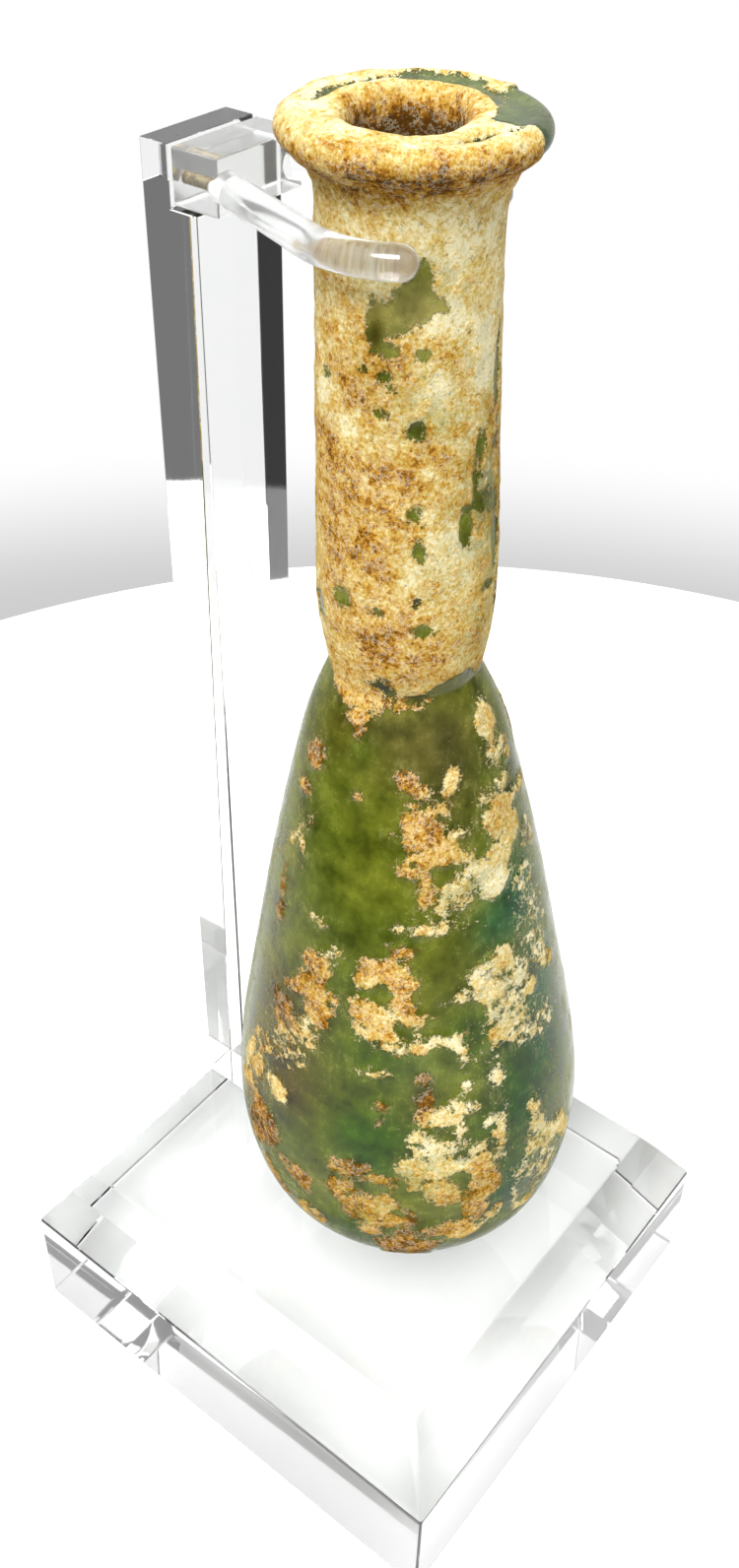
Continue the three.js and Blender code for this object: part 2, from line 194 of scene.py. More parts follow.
# Bare glass that shows through the crust: (azimuth, height, half length, half width, tilt)
WINDOWS = [
    # holes in the crust of the body
    (-12, 45.9, 1.2, 0.8, 0), (22, 60.2, 0.9, 0.7, 0), (18, 21.5, 1.3, 1.0, 0), (0, 20.8, 0.5, 1.2, -8),
    (4, 17.4, 1.3, 0.9, 10), (12, 16.0, 2.3, 0.7, 8), (25, 28.3, 0.9, 1.6, 0), (-12, 20.2, 1.5, 0.6, -8),
    (-4, 12.6, 0.7, 0.8, 0), (-22, 20.6, 1.0, 0.5, 0), (3, 19.6, 0.5, 0.7, 0), (30, 22.3, 0.3, 1.4, 0),
    (9, 67.2, 0.6, 0.5, 0),
    # green window below the claw, and small dark spots down the neck
    (5, 115.4, 2.0, 1.8, 10), (9, 117.4, 0.9, 1.2, 0), (-10, 114.0, 1.8, 1.5, 0), (-19, 112.8, 0.7, 2.4, 5),
    (-12, 111.6, 1.3, 0.6, 20), (19, 115.2, 0.8, 0.8, 0), (9, 111.1, 0.8, 0.6, 0), (-13, 109.3, 0.5, 0.5, 0),
    (-10, 108.2, 0.5, 0.4, 0), (-15, 106.1, 0.7, 0.5, 0), (7, 104.8, 0.8, 0.8, 0), (-28, 109.7, 0.4, 0.3, 0),
    (6, 97.0, 0.6, 0.9, 0), (9, 93.6, 0.6, 0.9, 0), (7, 88.4, 0.55, 0.9, 0), (11, 85.5, 0.9, 0.6, 0),
    (-43, 87.6, 1.2, 1.2, 0), (-19, 87.2, 0.6, 0.4, 0), (-57, 108.0, 0.5, 0.4, 0), (-10, 85.1, 0.3, 0.3, 0),
    # slots at the foot of the neck
    (-13, 79.4, 0.8, 0.45, -8), (-16, 78.5, 1.2, 0.5, -8), (-11, 77.6, 0.9, 0.5, 0), (-30, 78.4, 0.5, 0.3, 0),
    (9, 77.3, 1.7, 0.42, 0), (35, 77.9, 2.4, 1.0, 5), (57, 77.5, 1.2, 0.6, 0),
    # streaks of glass down the right of the neck
    (51, 102.0, 0.7, 1.4, 0), (48, 99.0, 0.5, 2.0, 0), (55, 97.0, 1.6, 1.1, 5), (68, 96.0, 1.4, 1.2, 0),
    (72, 92.0, 0.9, 4.0, 0), (72, 107.5, 0.7, 3.6, 0), (70, 101.5, 0.9, 0.7, 0), (80, 86.0, 1.0, 2.4, 0),
    (40, 95.0, 0.9, 2.2, 0), (63, 88.0, 1.2, 0.5, 0), (-72, 84.5, 1.2, 1.6, 0),
]
# Where the seam of the folded lip runs on the top of the collar: (azimuth, radius)
SEAM = [(-60, 8.0), (-39, 8.1), (-19, 8.8), (-4, 9.1), (10, 8.8), (28, 7.9), (46, 8.1), (60, 8.8)]
# Areas of bare glass with more dust and more painted sheen: (azimuth, height, half width, half height, amount)
DUST_AND_SHEEN_AREAS = [
    (-60, 30, 6, 12, 0.3), (60, 50, 5, 14, 0.4), (20, 55, 4, 3, 0.5), (40, 42, 5, 5, 0.5), (45, 20, 5, 6, 0.3),
    (8, 30, 5, 3, 0.4), (-35, 37, 4, 3, 0.5), (60, 68, 4, 5, 0.5), (-18, 58, 5, 9, -0.3), (-12, 28, 6, 5, -0.3),
]
# Where green shows through the crust: (azimuth, height, half width, half height, amount)
STAINED = [
    (45, 96, 3, 6, 0.6), (65, 96, 3, 12, 0.6), (12, 106, 4, 3, 0.5), (0, 117, 4, 2.5, 0.5), (25, 118, 3, 3, 0.3),
    (40, 112, 2.5, 4, 0.3), (-15, 110, 3, 3, 0.3), (50, 84, 3, 4, 0.4), (20, 92, 3, 3, 0.3), (5, 79, 4, 2, 0.3),
    (12, 22, 8, 8, 0.6), (38, 44, 5, 6, 0.6), (52, 62, 4, 6, 0.4), (45, 20, 4, 7, 0.7), (24, 58, 4, 3, 0.6),
    (-14, 17, 6, 6, 0.5), (-38, 43, 4, 5, 0.3), (65, 72, 4, 6, 0.4),
]
# Colour of the glass: (azimuth, height, half width, half height, tint, strength)
TINTS = [
    (0, 73, 8, 4.5, "smoke", 1.0), (28, 71, 4, 6, "smoke", 1.0), (-45, 73, 3, 2, "umber", 0.6),
    (24, 73, 1.6, 2.6, "soot", 0.9), (20, 68.5, 1.8, 1.5, "soot", 0.8), (34, 70, 1.4, 3, "soot", 0.7),
    (-6, 74.5, 1.6, 0.8, "soot", 0.7), (2, 72, 1.2, 1.0, "soot", 0.5), (-24, 72, 2.0, 1.6, "moss", 0.7),
    (-35, 60, 5, 9, "moss", 0.9), (-15, 59, 4, 7, "olive", 1.0), (30, 64, 2.5, 5, "smoke", 0.5),
    (-12, 53.5, 6, 2.5, "moss", 0.8), (-22, 46, 4, 5, "moss", 0.9), (-12, 34, 5, 4, "moss", 0.5),
    (-12, 27, 6, 5, "leaf", 1.0), (-10, 38, 6, 3, "leaf", 0.6), (18, 47, 3.5, 5, "soot", 0.5),
    (12, 37, 4, 3, "sage", 0.5), (24, 40, 3, 4, "leaf", 0.8), (42, 30, 5, 9, "emerald", 1.0),
    (58, 34, 6, 12, "emerald", 0.9), (36, 17, 4, 6, "emerald", 0.9), (55, 54, 4, 6, "teal", 0.9),
    (26, 28, 2, 3, "leaf", 0.6), (40, 52, 3, 3, "teal", 0.6), (66, 42, 4, 8, "teal", 0.6),
    (-14, 22, 3, 2, "teal", 0.3), (-20, 11, 4, 4, "emerald", 0.8), (-40, 23, 3, 4, "emerald", 0.7),
    (-46, 31, 5, 8, "umber", 1.0), (-52, 39, 4, 4, "umber", 0.9), (10, 7, 8, 3, "umber", 0.5),
    (7, 33, 1.2, 2.4, "umber", 0.8), (60, 65, 5, 8, "emerald", 0.5), (-64, 28, 3, 10, "umber", 0.8),
    (9, 77.3, 1.9, 0.6, "slot", 1.0), (-13, 78.5, 1.5, 1.2, "slot", 0.9), (7, 88.4, 0.6, 0.9, "slot", 0.8),
    (0, 114.5, 4.5, 3, "khaki", 1.0), (-19, 112.8, 0.7, 2.4, "umber", 1.0), (8, 104.8, 0.9, 0.9, "slot", 0.4),
]
# Bands and areas where the neck's crust turns ochre: (azimuth, height, half width, half height, ochre)
NECK_OCHRE = [
    (0, 125.0, 12, 1.6, 0.95), (-30, 123.6, 4, 1.6, 0.75), (-40, 108, 3, 3, 0.75), (-35, 96, 4.5, 6, 0.8),
    (-20, 101, 3, 3, 0.65), (12, 101.5, 3, 2, 0.8), (-20, 84, 4, 4, 0.8), (8, 82, 4, 3, 0.65), (30, 110, 2, 3, 0.6),
    (-55, 95, 2, 8, 0.7), (20, 88, 3, 3, 0.5), (40, 84, 3, 3, 0.55),
]
# Areas of it that stay nearly white: (azimuth, height, half width, half height)
NECK_PALE = [
    (8, 121.5, 2.2, 1.2), (26, 114, 2.0, 1.6), (12, 101, 0.9, 0.6), (20, 108, 1.6, 2.4), (-62, 106, 1.5, 2.0),
    (40, 120, 3.0, 2.0), (55, 112, 2.5, 3.5), (-40, 104, 2.0, 1.2), (52, 108, 1.8, 1.5), (60, 99, 1.2, 1.6),
]


def srgb(red, green, blue):
    """Linear colour of a display colour given from 0 to 255."""
    parts = [value / 255 for value in (red, green, blue)]
    return tuple(p / 12.92 if p <= 0.04045 else ((p + 0.055) / 1.055) ** 2.4 for p in parts)


GLASS_TINTS = {
    "olive": srgb(102, 109, 28),
    "moss": srgb(80, 94, 20),
    "smoke": srgb(98, 92, 40),
    "soot": srgb(58, 58, 22),
    "leaf": srgb(52, 84, 6),
    "sage": srgb(104, 120, 72),
    "khaki": srgb(160, 152, 82),
    "emerald": srgb(18, 68, 8),
    "teal": srgb(26, 88, 50),
    "umber": srgb(72, 62, 4),
    "slot": srgb(26, 24, 8),
}

ACRYLIC_TINT = (0.97, 0.985, 0.98)
# Pale grey-green of the painted sheen along the glass's sides, mixed with a fine dust film
SHEEN_AND_DUST_COLOUR = srgb(150, 150, 92)
PIT_COLOUR = srgb(92, 72, 20)
# Near-white of pale crumbs, and of painted highlights on the crust's grains and vein lines
PALE_CRUMB_AND_HIGHLIGHT = srgb(252, 246, 214)
CRUST_RAMP = [
    (0.0, srgb(248, 238, 196)), (0.2, srgb(236, 216, 152)), (0.4, srgb(216, 186, 104)),
    (0.6, srgb(206, 158, 66)), (0.8, srgb(166, 110, 32)), (1.0, srgb(100, 64, 14)),
]


# ---- small helpers -------------------------------------------------------------------------------

def lattice(cell):
    """A fixed value from -1 to 1 for each whole-numbered cell."""
    mixed = cell[:, 0] * 374761393 + cell[:, 1] * 668265263 + cell[:, 2] * 1274126177
    mixed = (mixed ^ (mixed >> 13)) * 1103515245
    return ((mixed ^ (mixed >> 16)) & 0xFFFF) / 32767.5 - 1


def noise(points, size, seed):
    """Smooth noise from about -1 to 1 whose lumps are about size across."""
    grid = points / size + seed * 31.7
    cell = np.floor(grid).astype(np.int64)
    part = grid - cell
    part = part * part * (3 - 2 * part)
    total = np.zeros(len(points))
    for corner in range(8):
        offset = np.array([(corner >> axis) & 1 for axis in range(3)])
        total += np.prod(np.where(offset, part, 1 - part), axis=1) * lattice(cell + offset)
    return total


def smoothstep(value, low, high):
    part = np.clip((value - low) / (high - low), 0, 1)
    return part * part * (3 - 2 * part)


def spline(points, step):
    """Points about step apart along a smooth curve through the given points."""
    points = np.array(points, float)
    last = len(points) - 1
    curve = []
    for i in range(last):
        before, start, end, after = (points[min(max(i + k, 0), last)] for k in (-1, 0, 1, 2))
        for t in np.linspace(0, 1, 40, endpoint=False):
            slope_in, slope_out = (end - before) / 2, (after - start) / 2
            curve.append(
                (2 * start - 2 * end + slope_in + slope_out) * t**3
                + (3 * end - 3 * start - 2 * slope_in - slope_out) * t**2
                + slope_in * t + start
            )
    curve = np.array(curve + [points[-1]])
    lengths = np.concatenate([[0], np.cumsum(np.linalg.norm(np.diff(curve, axis=0), axis=1))])
    places = np.linspace(0, lengths[-1], max(2, math.ceil(lengths[-1] / step) + 1))
    return np.stack([np.interp(places, lengths, curve[:, axis]) for axis in range(curve.shape[1])], 1)


def new_mesh(name, vertices, faces, smooth=True):
    """An object with its vertices given in mm."""
    mesh = bpy.data.meshes.new(name)
    mesh.from_pydata((np.asarray(vertices) * MM).tolist(), [], faces)
    mesh.update()
    mesh.polygons.foreach_set("use_smooth", [smooth] * len(mesh.polygons))
    piece = bpy.data.objects.new(name, mesh)
    bpy.context.scene.collection.objects.link(piece)
    return piece


class Nodes:
    """Builds a node tree: any input may be a number, a colour or another node's output."""

    def __init__(self, owner):
        owner.use_nodes = True
        self.owner = owner
        self.tree = owner.node_tree

    def add(self, kind, inputs=(), **settings):
        node = self.tree.nodes.new("ShaderNode" + kind)
        for key, value in settings.items():
            setattr(node, key, value)
        self.feed(node, inputs)
        return node

    def feed(self, node, inputs):
        for key, value in dict(inputs).items():
            if isinstance(value, bpy.types.NodeSocket):
                self.tree.links.new(value, node.inputs[key])
            elif isinstance(value, tuple) and len(value) == 3 and node.inputs[key].type == "RGBA":
                node.inputs[key].default_value = (*value, 1)
            else:
                node.inputs[key].default_value = value

    def shade(self, **inputs):
        """Feeds the material's shader; an input's name has _ for each space."""
        self.feed(self.tree.nodes["Principled BSDF"], {k.replace("_", " "): v for k, v in inputs.items()})
        return self.owner

    def math(self, operation, first, second=0.0, third=0.0, clamp=False):
        inputs = {0: first, 1: second, 2: third}
        return self.add("Math", inputs, operation=operation, use_clamp=clamp).outputs[0]

    def place(self):
        return self.add("TexCoord").outputs["Object"]

    def noise(self, size, detail=3.0, roughness=0.55, stretch=None):
        """Noise from 0 to 1 with features about size mm across."""
        place = self.place()
        if stretch:
            place = self.add("Mapping", {"Vector": place, "Scale": stretch}).outputs[0]
        inputs = {"Vector": place, "Scale": 1 / (size * MM), "Detail": detail, "Roughness": roughness}
        return self.add("TexNoise", inputs).outputs["Fac"]

    def grit(self, size):
        """Crumbs about size mm across, each with a value of its own from 0 to 1."""
        crumbs = self.add("TexVoronoi", {"Vector": self.place(), "Scale": 1 / (size * MM)})
        return self.add("SeparateColor", {0: crumbs.outputs["Color"]}).outputs[0]

    def spread(self, value, low, high, to_low=0.0, to_high=1.0, smooth=True):
        inputs = {"Value": value, "From Min": low, "From Max": high, "To Min": to_low, "To Max": to_high}
        kind = "SMOOTHSTEP" if smooth else "LINEAR"
        return self.add("MapRange", inputs, interpolation_type=kind).outputs["Result"]

    def swing(self, value, reach, base):
        """The base value with noise added that swings by up to about reach either way."""
        return self.math("MULTIPLY_ADD", self.math("SUBTRACT", value, 0.5), 2 * reach, base)

    def mix(self, factor, first, second, blend="MIX"):
        node = self.add("Mix", {0: factor, 6: first, 7: second}, data_type="RGBA", blend_type=blend)
        return node.outputs[2]

    def between(self, factor, first, second):
        return self.add("Mix", {0: factor, 2: first, 3: second}, data_type="FLOAT").outputs[0]

    def ramp(self, value, stops):
        node = self.add("ValToRGB", {"Fac": value})
        elements = node.color_ramp.elements
        while len(elements) < len(stops):
            elements.new(0.5)
        for element, (position, colour) in zip(elements, stops):
            element.position = position
            element.color = (*colour, 1)
        return node.outputs["Color"]

    def value_of(self, attribute):
        return self.add("Attribute", attribute_name=attribute).outputs["Fac"]

    def colour_of(self, attribute):
        return self.add("Attribute", attribute_name=attribute).outputs["Color"]

    def bump(self, height, strength, distance):
        """Normals of a surface that rises by height times distance mm."""
        inputs = {"Strength": strength, "Distance": distance * MM, "Height": height}
        return self.add("Bump", inputs).outputs[0]


# ---- bottle --------------------------------------------------------------------------------------

def wall_at(height):
    plain = np.where(height < PINCH_HEIGHT, BODY_WALL, NECK_WALL)
    return plain + (PINCH_WALL - plain) * np.exp(-(((height - PINCH_HEIGHT) / 5) ** 2))


def bottle_section():
    """The section through the glass as rows of [radius, height, zone]; zone 0 outside, 1 rim, 2 inside."""
    foot = spline([(0, PUSH_UP), (6.9, PUSH_UP * 0.6), (BODY_OUTLINE[0])], 1.2)
    outside = np.vstack([spline(BODY_OUTLINE, OUTSIDE_STEP), spline(NECK_OUTLINE, OUTSIDE_STEP)[1:]])
    crown = BOTTLE_HEIGHT - COLLAR_EDGE
    turns = np.radians(np.linspace(-62, 90, 12))
    collar = np.stack([
        COLLAR_RADIUS - COLLAR_EDGE + COLLAR_EDGE * np.cos(turns), crown + COLLAR_EDGE * np.sin(turns)
    ], 1)
    under = spline([outside[-1], (8.6, 124.1), (9.6, 124.9), collar[0]], 0.35)[1:-1]
    lip = spline([
        collar[-1], (GROOVE_RADIUS, BOTTLE_HEIGHT - 0.2), (6.9, BOTTLE_HEIGHT - 0.1),
        (MOUTH_RADIUS + 0.6, BOTTLE_HEIGHT - 0.4), (MOUTH_RADIUS, BOTTLE_HEIGHT - 1.3),
        (MOUTH_RADIUS + 0.2, BOTTLE_HEIGHT - COLLAR_HEIGHT),
    ], 0.22)[1:]
    shape = np.vstack([spline(BODY_OUTLINE, INSIDE_STEP), spline(NECK_OUTLINE, INSIDE_STEP)[1:]])
    shape = shape[shape[:, 1] > FLOOR + HEEL_HEIGHT][::-1]
    inside = np.stack([shape[:, 0] - wall_at(shape[:, 1]), shape[:, 1]], 1)
    down = np.radians(np.linspace(0, -90, 9))[1:-1]
    heel = np.stack([HEEL_RADIUS * np.cos(down), FLOOR + HEEL_HEIGHT * (1 + np.sin(down))], 1)
    parts = [(foot[:-1], 0), (outside, 0), (under, 0), (collar, 1), (lip, 1), (inside, 2), (heel, 2)]
    rows = [np.column_stack([points, np.full(len(points), zone)]) for points, zone in parts]
    rows.append(np.array([[0, FLOOR, 2]]))
    return np.vstack(rows)


def axis_y(height):
    above = np.maximum(0, height - PINCH_HEIGHT)
    return BOTTLE_Y + BODY_LEAN * np.minimum(height, PINCH_HEIGHT) + NECK_LEAN * above


def bend(azimuth, radius, height):
    """Places on the bottle in mm, from the azimuth round its axis, the radius and the height."""
    turn = np.radians(FRONT + azimuth)
    at_rim = smoothstep(height, 118, 124)
    at_mouth = at_rim * (1 - smoothstep(radius, MOUTH_RADIUS, GROOVE_RADIUS))
    reach = radius * (1 + MOUTH_OVAL * at_mouth * np.cos(2 * turn - 0.6))
    return np.stack([
        BOTTLE_X + reach * np.cos(turn) + COLLAR_OFFSET[0] * at_rim + MOUTH_OFFSET[0] * at_mouth,
        axis_y(height) + reach * np.sin(turn) + COLLAR_OFFSET[1] * at_rim + MOUTH_OFFSET[1] * at_mouth,
        BASE_HIGH.z + 0.3 + height,
    ], 1)


OUTLINE = np.vstack([spline(BODY_OUTLINE, 1.0), spline(NECK_OUTLINE, 1.0)[1:]])


def around(azimuth, height, centre, level):
    """Distances in mm on the surface from a centre azimuth and level: sideways and up."""
    turn = (azimuth - centre + 180) % 360 - 180
    return np.radians(turn) * np.interp(level, OUTLINE[:, 1], OUTLINE[:, 0]), height - level


def patch_depth(azimuth, height, centre, level, length, width, tilt):
    """How far inside an oval patch each place is, in mm, and negative outside it."""
    side, up = around(azimuth, height, centre, level)
    cos, sin = math.cos(math.radians(tilt)), math.sin(math.radians(tilt))
    along, across = side * cos + up * sin, up * cos - side * sin
    return (1 - np.hypot(along / length, across / width)) * min(length, width)


def soft_spot(azimuth, height, centre, level, width, rise):
    side, up = around(azimuth, height, centre, level)
    return np.exp(-((side / width) ** 2) - (up / rise) ** 2)


def crust_field(azimuth, height, zone, places):
    """How far inside the crust's edge each place is, in mm, and how ochre the crust is there."""
    cover = np.full(len(height), -3.0)
    ochre_sum = np.zeros(len(height))
    weight_sum = np.full(len(height), 1e-6)
    for centre, level, length, width, tilt, kept, tone in PATCHES:
        depth = patch_depth(azimuth, height, centre, level, length, width, tilt)
        cover = np.maximum(cover, np.minimum(depth, kept))
        weight = np.exp(np.minimum(depth, 0.8) * 2.2)
        ochre_sum += weight * tone
        weight_sum += weight
    ochre = ochre_sum / weight_sum
    behind = smoothstep(np.abs(azimuth), 78, 100) * (height < 76)
    cloud = noise(places, 9.0, 3) + 0.5 * noise(places, 4.0, 4)
    cover = np.maximum(cover, np.where(behind > 0, (cloud - 0.35) * 1.6 * behind - 3 * (1 - behind), -3))
    ochre = ochre * (1 - behind) + behind * (0.45 + 0.5 * noise(places, 7.0, 5))
    edge = np.interp(azimuth, *zip(*NECK_CRUST_EDGE))
    on_neck = smoothstep(height, 76, 79)
    cover = np.maximum(cover, np.clip(height - edge, -3, 1.3))
    neck_ochre = 0.42 + 0.22 * noise(places, 5.0, 6) + 0.12 * noise(places, 2.0, 7)
    for centre, level, width, rise, tone in NECK_OCHRE:
        spot = soft_spot(azimuth, height, centre, level, width, rise)
        neck_ochre += (tone - neck_ochre) * spot * 0.8
    for centre, level, width, rise in NECK_PALE:
        neck_ochre -= neck_ochre * soft_spot(azimuth, height, centre, level, width, rise) * 0.9
    ochre = ochre * (1 - on_neck) + neck_ochre * on_neck
    for centre, level, length, width, tilt in WINDOWS:
        depth = patch_depth(azimuth, height, centre, level, length, width, tilt)
        cover = np.where(zone == 0, np.minimum(cover, -depth * 1.5 + 0.1), cover)
    return cover, ochre


def ring_gap(azimuth, centre):
    """Angle from a centre azimuth, from 0 to 180 degrees."""
    return np.abs((azimuth - centre + 180) % 360 - 180)


def rim_field(azimuth, radius, height, places):
    """On the top of the collar: the crust's cover, how ochre it is, and the seam of the folded lip."""
    cover = np.full(len(radius), 1.3)
    bare_back = smoothstep(75 - ring_gap(azimuth, 128), 0, 22) * smoothstep(radius, 6.3, 7.2)
    cover -= 2.2 * bare_back
    cream = np.exp(-((ring_gap(azimuth, 133) / 9) ** 2) - ((radius - 8.7) / 0.8) ** 2)
    cover += 1.9 * cream + 1.6 * np.exp(-(((radius - 9.9) / 0.7) ** 2)) * (ring_gap(azimuth, 168) < 40)
    behind_mouth = smoothstep(62 - ring_gap(azimuth, -155), 0, 16)
    cover -= 1.9 * behind_mouth * np.exp(-(((radius - 8.0) / 0.55) ** 2))
    middle = np.interp(azimuth, *zip(*SEAM))
    at_front = smoothstep(azimuth, -46, -36) * (1 - smoothstep(azimuth, 58, 66))
    width = 0.2 + 0.26 * smoothstep(azimuth, 18, 36)
    seam = np.exp(-(((radius - middle) / width) ** 2)) * at_front
    cover -= 3.4 * seam * smoothstep(azimuth, -44, -20)
    deep = BOTTLE_HEIGHT - height
    ochre = 0.22 + 0.2 * noise(places, 3.0, 8)
    ochre += 0.3 * smoothstep(6.6 - radius, 0, 0.5) * smoothstep(np.abs(azimuth), 60, 100)
    ochre += 0.25 * smoothstep(radius, 9.4, 10.4) * (0.8 + 0.8 * noise(places, 4.0, 18))
    ochre += 0.3 * smoothstep(deep, 0.6, 1.4) + 0.6 * smoothstep(deep + 0.5 * noise(places, 1.0, 22), 1.9, 2.6)
    return cover, ochre, seam


def rim_lift(azimuth, radius, places):
    """How far the top of the collar stands above its even shape, in mm."""
    back = smoothstep(np.abs(azimuth), 70, 110)
    roll = 0.35 * back * np.exp(-(((radius - 6.0) / 0.7) ** 2)) * (1 + 0.5 * noise(places, 1.2, 19))
    return roll + 0.16 * noise(places, 4.0, 16)


def glass_tone(azimuth, height, zone, places):
    tone = np.tile(np.array(GLASS_TINTS["olive"]), (len(height), 1))
    shift = 0.35 * noise(places, 5.0, 9)
    for centre, level, width, rise, tint, strength in TINTS:
        share = np.clip(soft_spot(azimuth, height, centre, level, width, rise) * (strength + shift), 0, 1)
        tone += (np.array(GLASS_TINTS[tint]) - tone) * share[:, None]
    in_seam = (ring_gap(azimuth, 10) < 62) & (zone == 1)
    tone = np.where((height > 123)[:, None], np.array(GLASS_TINTS["sage"]) * 0.6, tone)
    tone = np.where(in_seam[:, None], np.array(GLASS_TINTS["leaf"]) * 0.6, tone)
    tone[zone == 2] = tone[zone == 2] * 0.8
    return tone


def dust_and_sheen_field(azimuth, height, cover, places):
    """How much fine dust, how many specks and how much painted sheen lie on the bare glass, from 0 to 1."""
    # painted reflection: the field rises towards the sides, past 42 degrees from the front, standing in for the
    # glancing sheen along the edges
    dust_and_sheen = 0.22 + 0.5 * smoothstep(np.abs(azimuth), 42, 62) + 0.45 * smoothstep(cover, -1.6, -0.2)
    for centre, level, width, rise, amount in DUST_AND_SHEEN_AREAS:
        dust_and_sheen += amount * soft_spot(azimuth, height, centre, level, width, rise)
    return np.clip(dust_and_sheen * (1 + 0.6 * noise(places, 3.0, 20)), 0, 1)


def build_bottle():
    section = bottle_section()
    rings, poles = section[1:-1], (section[0], section[-1])
    turns = np.arange(SIDES) * 360 / SIDES - 180
    azimuth = np.concatenate([np.tile(turns, len(rings)), [0, 0]])
    radius, height, zone = (
        np.concatenate([np.repeat(rings[:, i], SIDES), [pole[i] for pole in poles]]) for i in range(3)
    )
    places = bend(azimuth, radius, height)

    faces = []
    for ring in range(len(rings) - 1):
        start, above = ring * SIDES, (ring + 1) * SIDES
        faces += [(start + i, start + (i + 1) % SIDES, above + (i + 1) % SIDES, above + i) for i in range(SIDES)]
    low_pole, high_pole = len(places) - 2, len(places) - 1
    top = (len(rings) - 1) * SIDES
    faces += [(low_pole, (i + 1) % SIDES, i) for i in range(SIDES)]
    faces += [(top + i, top + (i + 1) % SIDES, high_pole) for i in range(SIDES)]

    cover, ochre = crust_field(azimuth, height, zone, places)
    rim_cover, rim_ochre, seam = rim_field(azimuth, radius, height, places)
    on_rim, inside = zone == 1, zone == 2
    cover = np.where(on_rim, rim_cover, cover)
    ochre = np.where(on_rim, rim_ochre, ochre)
    cover = np.where(inside, np.where(height > 118, 1.0, -0.6 + 0.9 * noise(places, 6.0, 10)), cover)
    ochre = np.where(inside, 0.95 + 0.3 * noise(places, 1.2, 11), ochre)
    cover = cover + 0.22 * noise(places, 2.4, 1) + 0.2 * noise(places, 1.2, 2)

    piece = new_mesh("bottle_weathered", places, faces)
    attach(piece, "root")
    normals = np.zeros(len(places) * 3)
    piece.data.vertices.foreach_get("normal", normals)
    normals = normals.reshape(-1, 3)
    crusted = smoothstep(cover, -0.12, 0.3)
    lumps = 0.5 + 0.5 * noise(places, 1.6, 13) + 0.4 * noise(places, 0.9, 14)
    relief = crusted * np.where(height > PINCH_HEIGHT - 2, 0.26, 0.22) * (0.5 + 0.6 * lumps)
    lift = np.where(inside, 0.4 * relief, relief + 0.12 * noise(places, 14.0, 15))
    lift = np.where(on_rim, lift + rim_lift(azimuth, radius, places) - 0.75 * seam, lift)
    piece.data.vertices.foreach_set("co", ((places + normals * lift[:, None]) * MM).ravel())
    piece.data.update()

    fields = {"cover": cover, "ochre": ochre, "dust_and_sheen": dust_and_sheen_field(azimuth, height, cover, places)}
    stain = np.zeros(len(height))
    for centre, level, width, rise, amount in STAINED:
        stain += amount * soft_spot(azimuth, height, centre, level, width, rise)
    fields["stain"] = np.clip(stain * (1 + 0.5 * noise(places, 2.5, 21)), 0, 1)
    for name, values in fields.items():
        attribute = piece.data.attributes.new(name, "FLOAT", "POINT")
        attribute.data.foreach_set("value", values.astype(np.float32))
    tone = np.column_stack([glass_tone(azimuth, height, zone, places), np.ones(len(places))])
    attribute = piece.data.attributes.new("tone", "FLOAT_COLOR", "POINT")
    attribute.data.foreach_set("color", tone.astype(np.float32).ravel())
    piece.data.materials.append(bottle_material())
    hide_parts("bottle")


def crust_colour(nodes, depth, glass, highlit_veins):
    """Granular crust: pale, ochre and brown crumbs with dark pits, pale grains and vein lines that are partly painted
    highlights, and the glass showing where it thins.
    """
    clouds = nodes.noise(2.2, detail=6, roughness=0.68)
    grains = nodes.noise(0.34, detail=5, roughness=0.75)
    tone = nodes.swing(clouds, 0.8, nodes.value_of("ochre"))
    tone = nodes.swing(grains, 0.9, tone)
    tone = nodes.swing(nodes.grit(0.42), 0.12, tone)
    crust = nodes.ramp(tone, CRUST_RAMP)
    pits = nodes.spread(nodes.noise(0.6, detail=6, roughness=0.8), 0.45, 0.33)
    crust = nodes.mix(nodes.math("MULTIPLY", pits, 0.75), crust, PIT_COLOUR)
    # Pale grains and bright vein lines: partly the crust's own pale grains, partly painted highlight where its grains
    # and ridges catch the light
    pale_grains_and_highlights = nodes.spread(nodes.noise(0.8, detail=6, roughness=0.8), 0.57, 0.68)
    pale_grains_and_highlights = nodes.math("MAXIMUM", pale_grains_and_highlights, nodes.math("MULTIPLY", highlit_veins, 0.7))
    crust = nodes.mix(nodes.math("MULTIPLY", pale_grains_and_highlights, 0.55), crust, PALE_CRUMB_AND_HIGHLIGHT)
    thin = nodes.spread(depth, 0.0, 0.6, 0.4, 0.0)
    stain = nodes.math("MULTIPLY", nodes.value_of("stain"), nodes.spread(nodes.noise(1.1, detail=6, roughness=0.75),
                                                                         0.62, 0.42))
    crust = nodes.mix(nodes.math("MAXIMUM", thin, stain), crust, nodes.mix(0.25, glass, crust))
    return crust, clouds, grains


